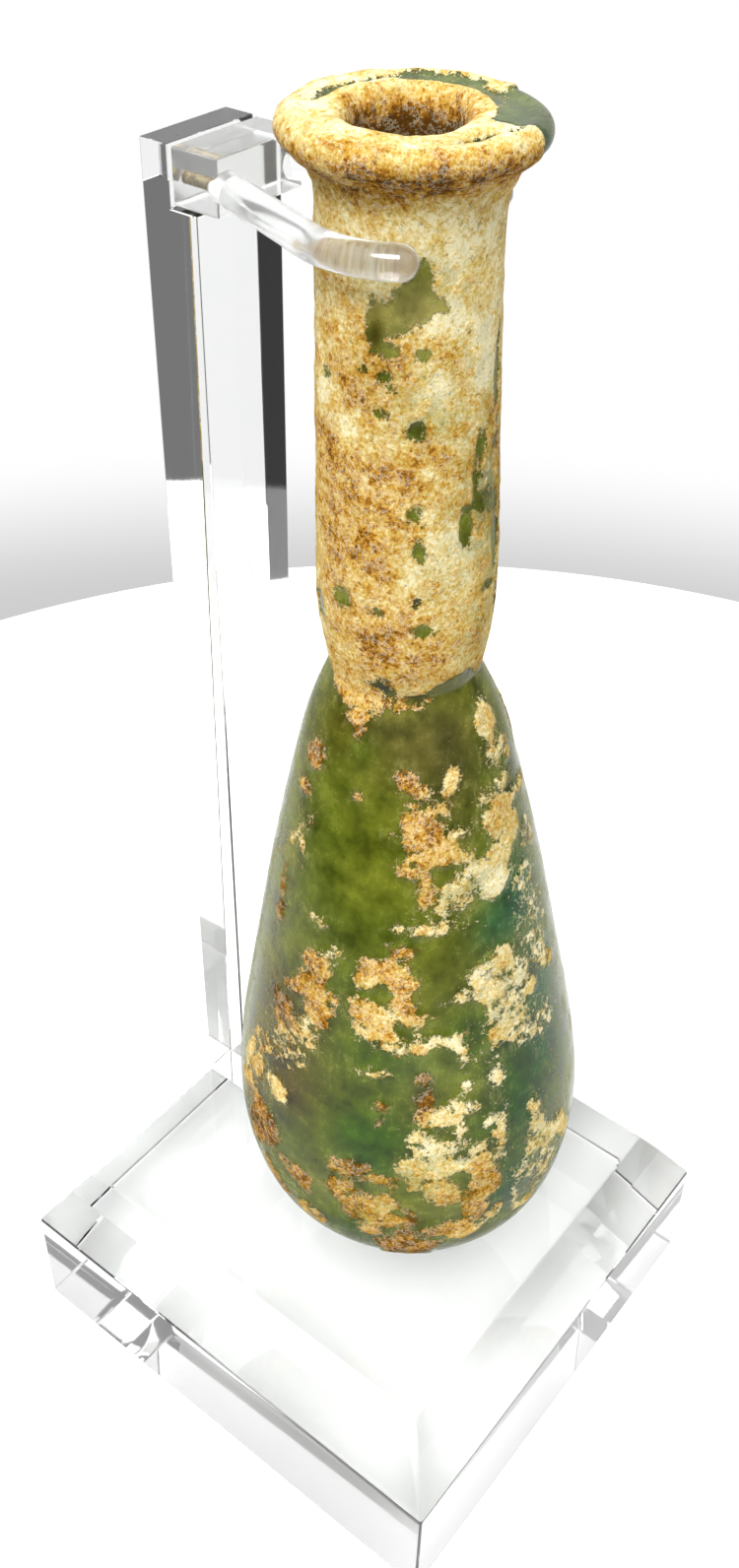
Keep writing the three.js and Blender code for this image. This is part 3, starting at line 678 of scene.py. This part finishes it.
def bottle_material():
    nodes = Nodes(bpy.data.materials.new("weathered_glass_and_crust"))
    fringe = nodes.noise(1.3, detail=8, roughness=0.78)
    # Thin vein lines in the crust; they are also drawn bright as painted highlights on its ridges
    lines = nodes.math("ABSOLUTE", nodes.math("SUBTRACT", nodes.noise(1.6, detail=5, roughness=0.68), 0.5))
    highlit_veins = nodes.spread(lines, 0.03, 0.0)
    depth = nodes.swing(fringe, 2.1, nodes.value_of("cover"))
    depth = nodes.math("MULTIPLY_ADD", highlit_veins, 0.4, depth)
    edge = nodes.spread(depth, -0.02, 0.14)
    dust_and_sheen = nodes.value_of("dust_and_sheen")
    speck_level = nodes.math("MULTIPLY_ADD", dust_and_sheen, -0.13, 0.72)
    speck_field = nodes.noise(0.45, detail=4, roughness=0.7)
    specks = nodes.spread(nodes.math("SUBTRACT", speck_field, speck_level), 0.0, 0.02)
    mask = nodes.math("MAXIMUM", edge, nodes.math("MULTIPLY", specks, 0.8))

    veil = nodes.noise(3.2, detail=6, roughness=0.62)
    mottle = nodes.ramp(veil, [(0.32, (0.42, 0.45, 0.42)), (0.5, (0.95, 0.95, 0.95)), (0.68, (1.5, 1.45, 1.5))])
    glass = nodes.mix(1.0, nodes.colour_of("tone"), mottle, "MULTIPLY")
    # Painted reflection: pale vertical streaks and haze, strongest where the dust-and-sheen field rises towards the
    # sides, stand in for the glancing sheen on the glass, together with a fine dust film
    sheen_streaks = nodes.noise(0.8, detail=5, roughness=0.7, stretch=(1, 1, 0.1))
    sheen_and_dust_film = nodes.math("MULTIPLY", nodes.spread(sheen_streaks, 0.5, 0.75), nodes.math("MULTIPLY", dust_and_sheen, 0.5))
    sheen_and_dust_haze = nodes.math("MULTIPLY", nodes.spread(nodes.noise(1.6, detail=8, roughness=0.8), 0.52, 0.7), dust_and_sheen)
    sheen_and_dust_film = nodes.math("MAXIMUM", sheen_and_dust_film, nodes.math("MULTIPLY", sheen_and_dust_haze, 0.6))
    glass = nodes.mix(sheen_and_dust_film, glass, SHEEN_AND_DUST_COLOUR)

    crust, clouds, grains = crust_colour(nodes, depth, glass, highlit_veins)
    height = nodes.math("MULTIPLY", mask, nodes.math("ADD", grains, 0.6))
    height = nodes.math("MULTIPLY_ADD", nodes.math("MULTIPLY", clouds, mask), 0.8, height)
    height = nodes.math("MULTIPLY_ADD", nodes.noise(0.3, detail=3), 0.05, height)
    rough_glass = nodes.math("MULTIPLY_ADD", sheen_and_dust_film, 0.5, nodes.spread(veil, 0.3, 0.7, 0.14, 0.3))
    return nodes.shade(
        Base_Color=nodes.mix(mask, glass, crust),
        Roughness=nodes.between(mask, rough_glass, 0.9),
        Transmission_Weight=nodes.spread(mask, 0.0, 1.0, 0.25, 0.0),
        Specular_IOR_Level=0.06,
        IOR=1.5,
        Normal=nodes.bump(height, 0.9, 0.35),
    )


# ---- stand ---------------------------------------------------------------------------------------

def acrylic_material(name, frosting=0.0, rough_from=None):
    """Clear acrylic with faint wipe marks; above the level rough_from (mm) its face is sawn and flecked."""
    nodes = Nodes(bpy.data.materials.new(name))
    marks = nodes.noise(6.0, detail=6, roughness=0.7, stretch=(1, 1, 0.3))
    ripple = nodes.noise(18.0, detail=1)
    height = nodes.math("MULTIPLY_ADD", marks, 0.15, ripple)
    cloudy = nodes.noise(3.0, detail=4)
    roughness = nodes.spread(cloudy, 0.3, 0.7, 0.015 + frosting * 0.8, 0.03 + frosting * 1.2)
    tint = nodes.ramp(cloudy, [(0.3, ACRYLIC_TINT), (0.7, (0.985, 0.99, 0.98))])
    if rough_from is not None:
        level = nodes.add("SeparateXYZ", {0: nodes.place()}).outputs["Z"]
        sawn = nodes.spread(level, (rough_from - 0.05) * MM, rough_from * MM)
        flecks = nodes.noise(0.5, detail=3, roughness=0.7, stretch=(1.6, 0.7, 1))
        flecks = nodes.math("MULTIPLY", nodes.spread(flecks, 0.66, 0.72), sawn)
        roughness = nodes.math("MULTIPLY_ADD", sawn, 0.3, roughness)
        tint = nodes.mix(nodes.math("MULTIPLY", flecks, 0.6), tint, srgb(140, 138, 96))
        height = nodes.math("MULTIPLY_ADD", nodes.math("MULTIPLY", nodes.noise(0.4, detail=4), sawn), 0.8, height)
    return nodes.shade(
        Base_Color=tint,
        Roughness=roughness,
        Transmission_Weight=1.0 - frosting * 0.6,
        IOR=1.49,
        Normal=nodes.bump(height, 0.06, 0.3),
    )


def finish_piece(piece, node, material):
    piece.data.materials.clear()
    piece.data.materials.append(material)
    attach(piece, "root")
    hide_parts(node)


def flat_sided(name, node, edge_width, material):
    """A copy of a flat-sided CAD node with fine rounded edges."""
    mesh = bmesh.new()
    mesh.from_mesh(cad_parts[node].data)
    bmesh.ops.remove_doubles(mesh, verts=mesh.verts, dist=0.001 * MM)
    bmesh.ops.dissolve_limit(mesh, angle_limit=0.01, verts=mesh.verts, edges=mesh.edges)
    sharp = [edge for edge in mesh.edges if edge.calc_face_angle(0) > 0.2]
    bmesh.ops.bevel(mesh, geom=sharp, offset=edge_width * MM, segments=2, profile=0.5, affect="EDGES")
    data = bpy.data.meshes.new(name)
    mesh.to_mesh(data)
    mesh.free()
    piece = bpy.data.objects.new(name, data)
    bpy.context.scene.collection.objects.link(piece)
    finish_piece(piece, node, material)


def tube(name, path, radii, sides=28):
    """A closed tube along a level path, with a radius for each of its points."""
    path, radii = np.array(path), np.array(radii)
    forward = np.gradient(path, axis=0)
    forward /= np.linalg.norm(forward, axis=1)[:, None]
    across = np.cross(forward, (0, 0, 1))
    turns = np.arange(sides) * 2 * math.pi / sides
    rings = (
        path[:, None] + radii[:, None, None]
        * (across[:, None] * np.cos(turns)[None, :, None] + np.array([0, 0, 1]) * np.sin(turns)[None, :, None])
    )
    faces = [
        (ring * sides + i, (ring + 1) * sides + i, (ring + 1) * sides + (i + 1) % sides, ring * sides + (i + 1) % sides)
        for ring in range(len(path) - 1) for i in range(sides)
    ]
    faces.append(tuple(range(sides)))
    faces.append(tuple((len(path) - 1) * sides + i for i in reversed(range(sides))))
    return new_mesh(name, rings.reshape(-1, 3), faces)


def arm_path(end, side):
    """An arm's middle line and radius: a straight leg, a curl round the neck, and a rounded tip."""
    neck_y = float(axis_y(CLAW_HEIGHT - BASE_HIGH.z - 0.3))
    start = math.radians(GRIP_START)
    join = np.array([GRIP_RADIUS * math.cos(start), GRIP_RADIUS * math.sin(start)])
    leg = [join + LEG_LENGTH * part * np.array([-math.sin(start), math.cos(start)]) for part in (1, 0.5)]
    turns = np.radians(np.linspace(GRIP_START, end, 6))
    curl = np.stack([GRIP_RADIUS * np.cos(turns), GRIP_RADIUS * np.sin(turns)], 1)
    line = spline(np.vstack([leg, curl]), 0.5)
    direction = line[-1] - line[-2]
    direction /= np.linalg.norm(direction)
    tip = np.radians(np.linspace(12, 84, 7))
    line = np.vstack([line, line[-1] + direction * ROD_RADIUS * np.sin(tip)[:, None]])
    radii = np.concatenate([np.full(len(line) - len(tip), ROD_RADIUS), ROD_RADIUS * np.cos(tip)])
    places = np.column_stack([BOTTLE_X + side * line[:, 0], neck_y + line[:, 1], np.full(len(line), CLAW_HEIGHT)])
    return places, radii


def build_claw():
    """The block seated in the upright with its two arms, as one smooth solid."""
    low = np.array([BAR_LOW.x, BLOCK_FRONT_Y, BLOCK_BOTTOM])
    high = np.array([BAR_HIGH.x, CLAW_HIGH.y, CLAW_HIGH.z])
    corners = [[(low, high)[(i >> axis) & 1][axis] for axis in range(3)] for i in range(8)]
    sides = [(0, 2, 3, 1), (4, 5, 7, 6), (0, 1, 5, 4), (2, 6, 7, 3), (0, 4, 6, 2), (1, 3, 7, 5)]
    block = new_mesh("claw_block", corners, sides)
    mesh = bmesh.new()
    mesh.from_mesh(block.data)
    bmesh.ops.bevel(mesh, geom=list(mesh.edges), offset=0.25 * MM, segments=3, profile=0.5, affect="EDGES")
    mesh.to_mesh(block.data)
    mesh.free()
    arms = [tube("claw_arm", *arm_path(end, side)) for end, side in ((LONG_ARM_END, -1), (SHORT_ARM_END, 1))]
    for arm in arms:
        union = block.modifiers.new("join", "BOOLEAN")
        union.operation = "UNION"
        union.object = arm
        union.solver = "EXACT"
    shape = block.evaluated_get(bpy.context.evaluated_depsgraph_get())
    data = bpy.data.meshes.new_from_object(shape)
    data.name = "stand_claw_smooth"
    for part in (block, *arms):
        bpy.data.objects.remove(part)
    data.polygons.foreach_set("use_smooth", [True] * len(data.polygons))
    data.set_sharp_from_angle(angle=math.radians(14))
    piece = bpy.data.objects.new("stand_claw_smooth", data)
    bpy.context.scene.collection.objects.link(piece)
    finish_piece(piece, "stand_claw", acrylic_material("claw_acrylic", frosting=0.12))


def build_stud():
    """The fine-threaded stud that is sealed in the claw's block."""
    length = STUD_BACK_Y - STUD_FRONT_Y
    steps = int(length / STUD_PITCH * 4)
    along = np.linspace(0, length, steps + 1)
    ridge = STUD_RADIUS - 0.12 * (np.arange(steps + 1) % 2)
    path = [(STUD_X, STUD_FRONT_Y + y, STUD_Z) for y in along]
    stud = tube("claw_stud", path, ridge, sides=20)
    nodes = Nodes(bpy.data.materials.new("stud_metal"))
    tarnish = nodes.noise(0.5, detail=4, roughness=0.7)
    stud.data.materials.append(nodes.shade(
        Base_Color=nodes.ramp(tarnish, [(0.35, srgb(120, 98, 66)), (0.65, srgb(206, 190, 150))]),
        Metallic=0.4,
        Roughness=nodes.spread(tarnish, 0.3, 0.7, 0.35, 0.6),
        Normal=nodes.bump(tarnish, 0.3, 0.05),
    ))
    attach(stud, "root")


build_bottle()
flat_sided("stand_base_polished", "stand_base", 0.25, acrylic_material("base_acrylic"))
flat_sided("stand_upright_polished", "stand_upright", 0.15, acrylic_material("bar_acrylic", rough_from=BAR_HIGH.z))
build_claw()
build_stud()

# ---- setting -------------------------------------------------------------------------------------

def build_floor():
    turns = np.radians(np.arange(0, 360, 2))
    rim = np.stack([FLOOR_X + FLOOR_RADIUS * np.cos(turns), FLOOR_Y + FLOOR_RADIUS * np.sin(turns)], 1)
    corners = np.column_stack([rim, np.full(len(rim), -AIR_GAP)])
    floor = new_mesh("floor", corners, [tuple(range(len(corners)))], smooth=False)
    nodes = Nodes(bpy.data.materials.new("pale_floor"))
    floor.data.materials.append(nodes.shade(
        Base_Color=nodes.ramp(nodes.noise(30, detail=3), [(0.3, (0.88, 0.88, 0.88)), (0.7, (0.92, 0.92, 0.92))]),
        Roughness=0.7,
        Specular_IOR_Level=0.2,
    ))


def build_world():
    """A bright ceiling and a pale backdrop, with the room in shade to the sides and in front."""
    nodes = Nodes(bpy.data.worlds.new("studio"))
    bpy.context.scene.world = nodes.owner
    direction = nodes.add("TexCoord").outputs["Generated"]

    def towards(azimuth):
        turn = math.radians(azimuth)
        across = (math.cos(turn), math.sin(turn), 0)
        return nodes.add("VectorMath", {0: direction, 1: across}, operation="DOT_PRODUCT").outputs["Value"]

    rise = nodes.add("SeparateXYZ", {0: direction}).outputs["Z"]
    sides = nodes.spread(towards(BACKDROP_AZIMUTH - 90), -0.5, 0.6, ROOM_LEFT, ROOM_RIGHT)
    walls = nodes.between(nodes.spread(towards(BACKDROP_AZIMUTH), 0.0, 0.75), sides, BACKDROP)
    light = nodes.between(nodes.spread(rise, 0.05, 0.6), walls, CEILING)
    seen = nodes.spread(rise, -0.545, -0.46, 0.62, 1.0)
    straight = nodes.add("LightPath").outputs["Is Camera Ray"]
    strength = nodes.between(straight, light, seen)
    nodes.feed(nodes.tree.nodes["Background"], {"Color": (1.0, 1.0, 1.0), "Strength": strength})


def build_lamp():
    lamp = bpy.data.lights.new("key", "AREA")
    lamp.shape = "DISK"
    lamp.size = 0.35
    lamp.energy = LAMP_POWER
    key = bpy.data.objects.new("key", lamp)
    place = Vector(LAMP_PLACE)
    key.location = place
    key.rotation_euler = (Vector((0, 0, 0.08)) - place).to_track_quat("-Z", "Y").to_euler()
    bpy.context.scene.collection.objects.link(key)


def build_camera():
    yaw, pitch, roll = (math.radians(angle) for angle in (CAMERA_YAW, CAMERA_PITCH, CAMERA_ROLL))
    forward = Vector((math.cos(yaw) * math.cos(pitch), math.sin(yaw) * math.cos(pitch), -math.sin(pitch)))
    level = Vector((math.sin(yaw), -math.cos(yaw), 0))
    above = level.cross(forward)
    right = level * math.cos(roll) + above * math.sin(roll)
    up = above * math.cos(roll) - level * math.sin(roll)
    data = bpy.data.cameras.new("camera")
    data.sensor_width = 36
    data.lens = LENS
    data.shift_x, data.shift_y = SHIFT
    data.clip_start = 0.01
    data.clip_end = 20
    camera = bpy.data.objects.new("camera", data)
    turned = Matrix((right, up, -forward)).transposed().to_4x4()
    camera.matrix_world = Matrix.Translation(Vector(CAMERA_PLACE) * MM) @ turned
    bpy.context.scene.collection.objects.link(camera)
    bpy.context.scene.camera = camera


build_floor()
build_world()
build_lamp()
build_camera()
bpy.context.scene.view_settings.view_transform = "Standard"
bpy.context.scene.cycles.max_bounces = 24
bpy.context.scene.cycles.transmission_bounces = 24
